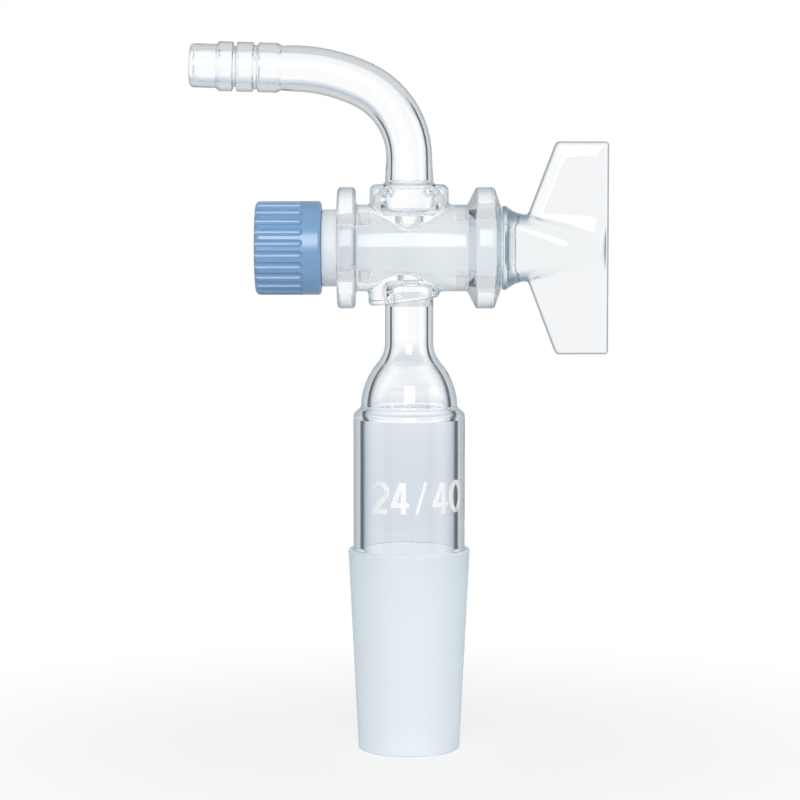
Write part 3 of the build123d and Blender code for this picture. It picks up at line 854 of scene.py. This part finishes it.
@dataclass
class Studio:
    """Pale floor, white surround and soft boxes, with the camera of the photograph.

    The camera's sizes are millimetres, the floor's are metres.
    """

    lens_mm: float = 125.9
    camera_x: float = -1.8
    camera_distance: float = 550.0
    camera_height: float = 111.5
    camera_pitch_deg: float = 4.376
    sensor_mm: float = 36.0
    near_clip: float = 0.01
    far_clip: float = 20.0
    boxes: tuple[SoftBox, ...] = (
        SoftBox("soft_box_left", -28, 6, 0.8, 0.8, 1.4),
        SoftBox("soft_box_right", 70, 6, 0.7, 0.8, 1.6),
        SoftBox("soft_box_front", 0, 22, 0.5, 0.55, 5.6),
        SoftBox("soft_box_top", 0, 72, 1.0, 0.8, 0.25),
    )
    bounces: int = 32
    surface_bounces: int = 24
    floor_size: float = 3.0
    floor_colour: str = "#EEF0F2"
    shadow_from: float = 0.02
    shadow_to: float = 0.14
    shadow_lift: float = 0.8
    # Painted shade: distances at which the grey-blue ring that hollow glass sees on the floor starts and is
    # full.
    floor_shade_from: float = 0.16
    floor_shade_to: float = 0.32
    fade_from: float = 0.5
    fade_to: float = 1.4
    wall_low: float = -0.1
    wall_high: float = 0.9
    wall_light: float = 0.14
    sky_light: float = 0.18
    wall_glow: float = 0.6
    front_glow_inside: float = 0.75
    front_from: float = 0.58
    front_to: float = 0.7
    gap_from: float = 0.82
    gap_to: float = 0.93
    steep_from: float = 0.4
    steep_to: float = 0.55
    flag: str = "#4B5054"
    overhead: str = "#D8DBDE"
    # Painted shade: glowing colour of that ring of floor.
    painted_floor_shade: str = "#D8E0E9"

    def ray_kinds(self, tree: bpy.types.NodeTree) -> tuple[bpy.types.Node, bpy.types.Node, bpy.types.Node]:
        """Sort rays by how they came: straight on, through glass, or reflected inside it first.

        Args:
            tree: the node tree.

        Returns:
            The light path node, a node that is one for rays from the camera or straight through
            glass, and a node that is one for rays that were reflected before they left clear glass.
        """
        path = add(tree, "ShaderNodeLightPath")
        inside = add(tree, "ShaderNodeMath", {0: path.outputs["Glossy Depth"], 1: ONCE},
                     operation="GREATER_THAN")
        clear = add(tree, "ShaderNodeMath", {0: path.outputs["Transmission Depth"], 1: HOLLOW},
                    operation="LESS_THAN")
        sharp = add(tree, "ShaderNodeMath", {0: clear, 1: path.outputs["Is Singular Ray"]},
                    operation="MULTIPLY")
        whole = add(tree, "ShaderNodeMath", {0: path.outputs["Diffuse Depth"], 1: ONCE},
                    operation="LESS_THAN")
        kept = add(tree, "ShaderNodeMath", {0: sharp, 1: whole}, operation="MULTIPLY")
        left = add(tree, "ShaderNodeMath", {0: inside, 1: kept}, operation="MULTIPLY")
        bounced = add(tree, "ShaderNodeMath", {0: left, 1: path.outputs["Is Transmission Ray"]},
                      operation="MULTIPLY")
        through = add(tree, "ShaderNodeMath", {0: path.outputs["Is Transmission Ray"], 1: bounced},
                      operation="SUBTRACT")
        straight = add(tree, "ShaderNodeMath", {0: through, 1: path.outputs["Is Camera Ray"]},
                       operation="MAXIMUM")
        return path, straight, bounced

    def dark_flags(self, tree: bpy.types.NodeTree, direction: bpy.types.Node) -> bpy.types.NodeSocket:
        """Colour of the studio as light that was reflected inside the glass finds it.

        Pale in front and behind, and white in a narrow gap at each side. Dark flags stand between them
        and give clear tubes their dark edges; it is grey overhead and underfoot.

        Args:
            tree: the node tree.
            direction: node that gives the direction from the object.

        Returns:
            Socket that gives the colour.
        """
        unit = add(tree, "ShaderNodeVectorMath", {0: direction}, operation="NORMALIZE")
        steep = add(tree, "ShaderNodeSeparateXYZ", {0: unit}).outputs["Z"]
        flat = add(tree, "ShaderNodeVectorMath", {0: direction, 1: (1.0, 1.0, 0.0)}, operation="MULTIPLY")
        level = add(tree, "ShaderNodeVectorMath", {0: flat}, operation="NORMALIZE")
        aside = add(tree, "ShaderNodeMath", {0: add(tree, "ShaderNodeSeparateXYZ", {0: level}).outputs["X"]},
                    operation="ABSOLUTE")
        front = add(tree, "ShaderNodeMapRange", {
            0: aside, 1: self.front_from, 2: self.front_to, 3: self.front_glow_inside, 4: 0.0,
        }, interpolation_type="SMOOTHSTEP")
        gap = add(tree, "ShaderNodeMapRange", {0: aside, 1: self.gap_from, 2: self.gap_to},
                  interpolation_type="SMOOTHSTEP")
        round_about = add(tree, "ShaderNodeMath", {0: front, 1: gap}, operation="MAXIMUM")
        lean = add(tree, "ShaderNodeMath", {0: steep}, operation="ABSOLUTE")
        low = add(tree, "ShaderNodeMapRange", {0: lean, 1: self.steep_from, 2: self.steep_to, 3: 1.0, 4: 0.0},
                  interpolation_type="SMOOTHSTEP")
        sides = add(tree, "ShaderNodeMix", {0: round_about, 6: to_linear(self.flag), 7: WHITE},
                    data_type="RGBA")
        shade = add(tree, "ShaderNodeMix", {0: low, 6: to_linear(self.overhead), 7: sides.outputs[2]},
                    data_type="RGBA")
        return shade.outputs[2]

    def surround(self) -> None:
        """White surround for what is seen straight on; a grey studio for what lights and reflects."""
        world = bpy.data.worlds.new("studio")
        bpy.context.scene.world = world
        world.use_nodes = True
        world.cycles.sampling_method = "NONE"
        tree = world.node_tree
        tree.nodes.clear()
        path, straight, bounced = self.ray_kinds(tree)
        place = add(tree, "ShaderNodeTexCoord").outputs["Generated"]
        height = add(tree, "ShaderNodeSeparateXYZ", {0: place})
        rise = add(tree, "ShaderNodeMapRange", {0: height.outputs["Z"], 1: self.wall_low, 2: self.wall_high,
                                                3: self.wall_light, 4: self.sky_light})
        outer = add(tree, "ShaderNodeMix", {0: path.outputs["Is Glossy Ray"], 2: rise, 3: self.wall_glow})
        inner = add(tree, "ShaderNodeMix", {0: bounced, 6: outer, 7: self.dark_flags(tree, place)},
                    data_type="RGBA")
        colour = add(tree, "ShaderNodeMix", {0: straight, 6: inner.outputs[2], 7: WHITE},
                     data_type="RGBA")
        glow = add(tree, "ShaderNodeBackground", {"Color": colour.outputs[2]})
        add(tree, "ShaderNodeOutputWorld", {"Surface": glow})

    def floor(self) -> bpy.types.Object:
        """Pale floor that keeps the shadow near the object and runs out to white; seen through hollow glass,
        a ring of it glows in a painted, shaded grey-blue.

        Returns:
            The floor.
        """
        side = self.floor_size
        mesh = bpy.data.meshes.new("floor")
        corners = [(-side, -side, 0), (side, -side, 0), (side, side, 0), (-side, side, 0)]
        mesh.from_pydata(corners, [], [range(len(corners))])
        floor = bpy.data.objects.new("floor", mesh)
        bpy.context.scene.collection.objects.link(floor)
        material, tree, out = new_material("pale_floor")
        path, straight, bounced = self.ray_kinds(tree)
        place = add(tree, "ShaderNodeTexCoord").outputs["Object"]
        away = add(tree, "ShaderNodeVectorMath", {0: place}, operation="LENGTH").outputs["Value"]
        far = add(tree, "ShaderNodeMapRange", {
            0: away, 1: self.shadow_from, 2: self.shadow_to, 3: self.shadow_lift,
        }, interpolation_type="SMOOTHSTEP")
        near = add(tree, "ShaderNodeMapRange", {
            0: away, 1: self.floor_shade_from, 2: self.floor_shade_to, 3: 1.0, 4: 0.0,
        }, interpolation_type="SMOOTHSTEP")
        fade = add(tree, "ShaderNodeMapRange", {0: away, 1: self.fade_from, 2: self.fade_to},
                   interpolation_type="SMOOTHSTEP")
        # Painted shade: rays that crossed hollow glass, four surfaces or more, see a glowing grey-blue ring
        # of floor; near the object, far off and through solid glass it stays white.
        solid = add(tree, "ShaderNodeMath", {0: path.outputs["Transmission Depth"], 1: HOLLOW},
                    operation="LESS_THAN")
        ends = add(tree, "ShaderNodeMath", {0: near, 1: fade}, operation="MAXIMUM")
        pale = add(tree, "ShaderNodeMath", {0: ends, 1: solid}, operation="MAXIMUM")
        painted_floor_shade = add(tree, "ShaderNodeMix", {0: pale, 6: to_linear(self.painted_floor_shade), 7: WHITE},
                    data_type="RGBA")
        seen = add(tree, "ShaderNodeMix", {0: path.outputs["Is Camera Ray"], 6: painted_floor_shade.outputs[2], 7: WHITE},
                   data_type="RGBA")
        below = add(tree, "ShaderNodeVectorMath", {0: place, 1: (0, 0, self.camera_height * MM)},
                    operation="SUBTRACT")
        inner = add(tree, "ShaderNodeMix", {0: bounced, 6: (self.wall_glow,) * 3 + (1.0,),
                                            7: self.dark_flags(tree, below)}, data_type="RGBA")
        shown = add(tree, "ShaderNodeMix", {0: straight, 6: inner.outputs[2], 7: seen.outputs[2]},
                    data_type="RGBA")
        plain = add(tree, "ShaderNodeBsdfDiffuse", {"Color": to_linear(self.floor_colour)})
        glow = add(tree, "ShaderNodeEmission", {"Color": shown.outputs[2]})
        looked = add(tree, "ShaderNodeMath", {0: path.outputs["Is Camera Ray"], 1: far.outputs[0]},
                     operation="MULTIPLY")
        passed = add(tree, "ShaderNodeMath", {0: path.outputs["Is Transmission Ray"],
                                              1: path.outputs["Is Glossy Ray"]}, operation="MAXIMUM")
        share = add(tree, "ShaderNodeMath", {0: looked, 1: passed}, operation="MAXIMUM")
        mixed = add(tree, "ShaderNodeMixShader", {0: share, 1: plain, 2: glow})
        tree.links.new(mixed.outputs[0], out.inputs["Surface"])
        material.cycles.emission_sampling = "NONE"
        dress(floor, material)
        return floor

    def camera(self) -> bpy.types.Object:
        """Level camera in front of the object, pitched down a little.

        Returns:
            The camera.
        """
        data = bpy.data.cameras.new("camera")
        data.lens, data.sensor_width = self.lens_mm, self.sensor_mm
        camera = bpy.data.objects.new("camera", data)
        bpy.context.scene.collection.objects.link(camera)
        camera.location = (self.camera_x * MM, -self.camera_distance * MM, self.camera_height * MM)
        camera.rotation_euler = (math.radians(90 - self.camera_pitch_deg), 0, 0)
        data.clip_start, data.clip_end = self.near_clip, self.far_clip
        bpy.context.scene.camera = camera
        return camera

    def build(self) -> None:
        """Set the floor, the surround, the soft boxes and the camera."""
        scene = bpy.context.scene
        scene.view_settings.view_transform = "Standard"
        scene.cycles.max_bounces = self.bounces
        scene.cycles.transmission_bounces = self.bounces
        scene.cycles.glossy_bounces = self.surface_bounces
        scene.cycles.diffuse_bounces = self.surface_bounces
        scene.cycles.blur_glossy = 0.0
        self.surround()
        self.floor()
        for box in self.boxes:
            box.hang()
        self.camera()


def main() -> None:
    """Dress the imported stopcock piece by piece, then set the studio round it."""
    logging.basicConfig(level=logging.INFO, format="%(name)s: %(message)s")
    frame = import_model()
    nodes = frame["nodes"]
    # The pressed glass gets a darker painted shade on its edges and a trace of it on its faces.
    pressed_glass = Borosilicate("pressed_borosilicate", GroundZone.PLUG, painted_edge_shade="#465C6C", edge_shade_from=0.1,
                                 edge_shade_to=0.6, face_shade_share=0.06, polish=0.05, cloud_density=20.0)
    finishes = {
        "glass_body": Borosilicate("flame_worked_borosilicate", GroundZone.BODY),
        "retaining_nut": MouldedPolypropylene(),
        "washer": TurnedFluoropolymer(),
        "o_ring": MouldedRubber(),
    }
    for name, finish in finishes.items():
        dress(nodes[name], finish.material())
    made = [PlugKey().build(pressed_glass.material()), SizeMark().build(FiredEnamel().material())]
    for piece in [nodes[name] for name in finishes] + made:
        log.info("%s: %d faces", piece.name, len(piece.data.polygons))
    Studio().build()


if __name__ == "__main__":
    main()
